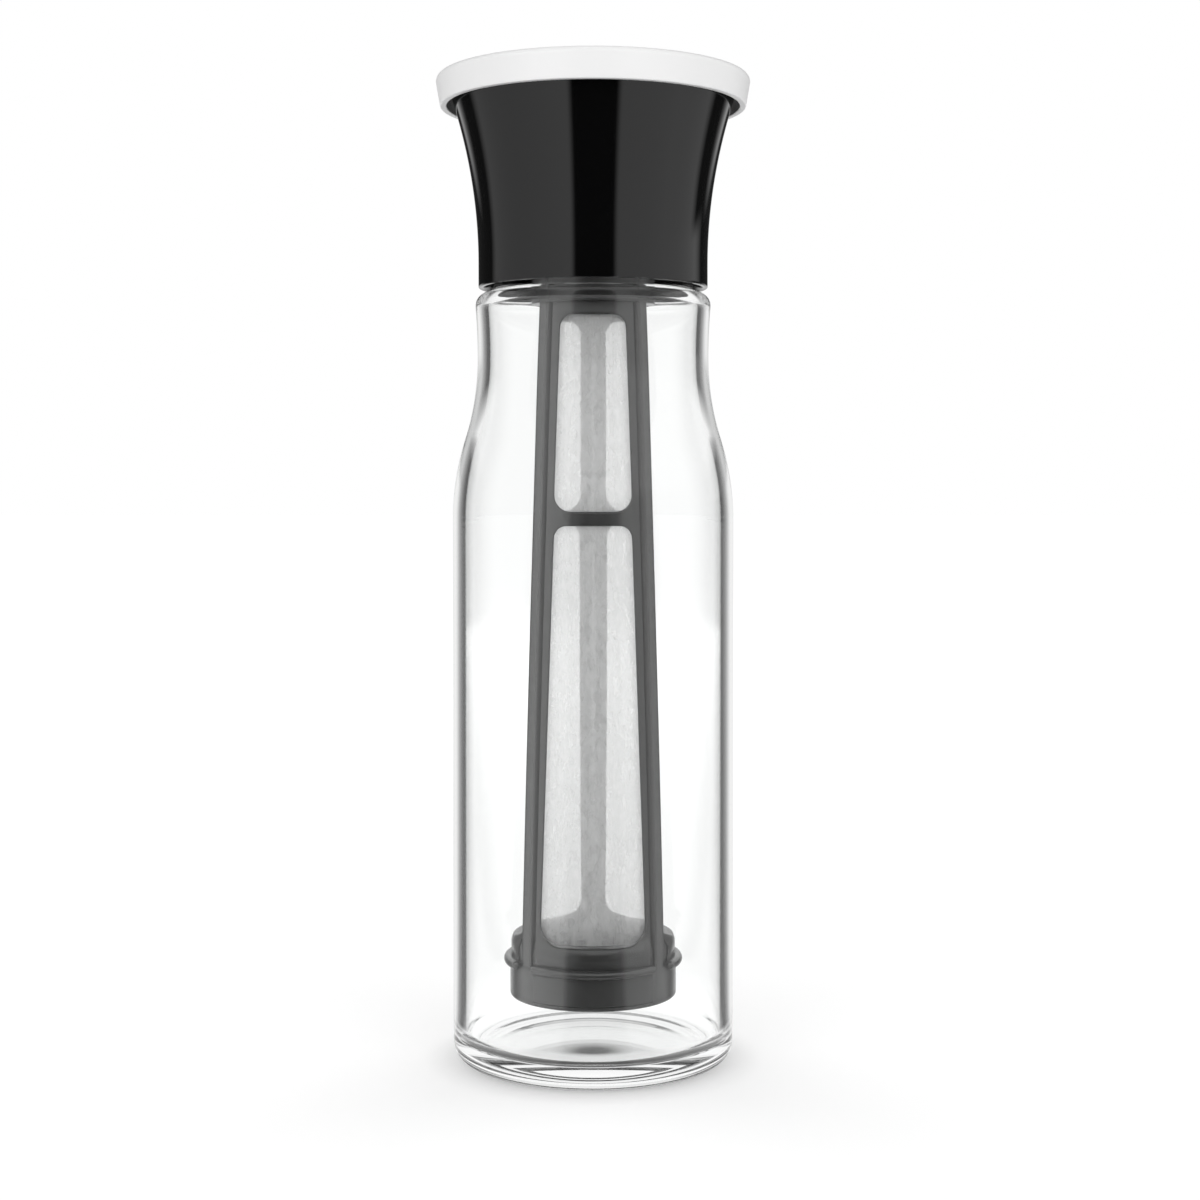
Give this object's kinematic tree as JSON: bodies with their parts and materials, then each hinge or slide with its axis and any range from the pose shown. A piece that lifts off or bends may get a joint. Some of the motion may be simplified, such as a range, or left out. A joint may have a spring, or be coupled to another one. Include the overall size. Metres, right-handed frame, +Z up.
{
  "type": "infuser carafe",
  "caption": "Tall clear glass carafe with a hanging mesh infuser, a flared glossy collar and a flat lift-off cap.",
  "frame": {"origin": "centre of the glass foot on the table", "axes": "+Z up along the carafe's axis, -Y towards the front window of the infuser, +X to the right seen from the front"},
  "size_m": [0.0866, 0.0866, 0.27],
  "materials": {
    "glass": "clear polished glass",
    "cage_plastic": "fine matte moulding",
    "mesh": "woven white nylon screen",
    "silicone": "translucent silicone",
    "collar_plastic": "high gloss black moulding",
    "cap_plastic": "satin white moulding"
  },
  "bodies": {
    "carafe": {"glass_body": "glass"},
    "infuser": {"infuser_frame": "cage_plastic", "infuser_base": "cage_plastic", "mesh_front": "mesh", "mesh_right": "mesh", "mesh_left": "mesh", "hanger_ring": "cage_plastic"},
    "collar": {"collar_shell": "collar_plastic", "collar_core": "collar_plastic", "neck_seal": "silicone", "rim_gasket": "silicone"},
    "cap": {"cap_cover": "cap_plastic", "cap_plug": "cap_plastic", "plug_seal": "silicone"}
  },
  "joints": [
    {"name": "infuser_lift", "type": "slide", "parent": "carafe", "child": "infuser", "axis": [0, 0, 1], "range_m": [0, 0.225]},
    {"name": "collar_lift", "type": "slide", "parent": "infuser", "child": "collar", "axis": [0, 0, 1], "range_m": [0, 0.04]},
    {"name": "cap_lift", "type": "slide", "parent": "collar", "child": "cap", "axis": [0, 0, 1], "range_m": [0, 0.035]}
  ]
}
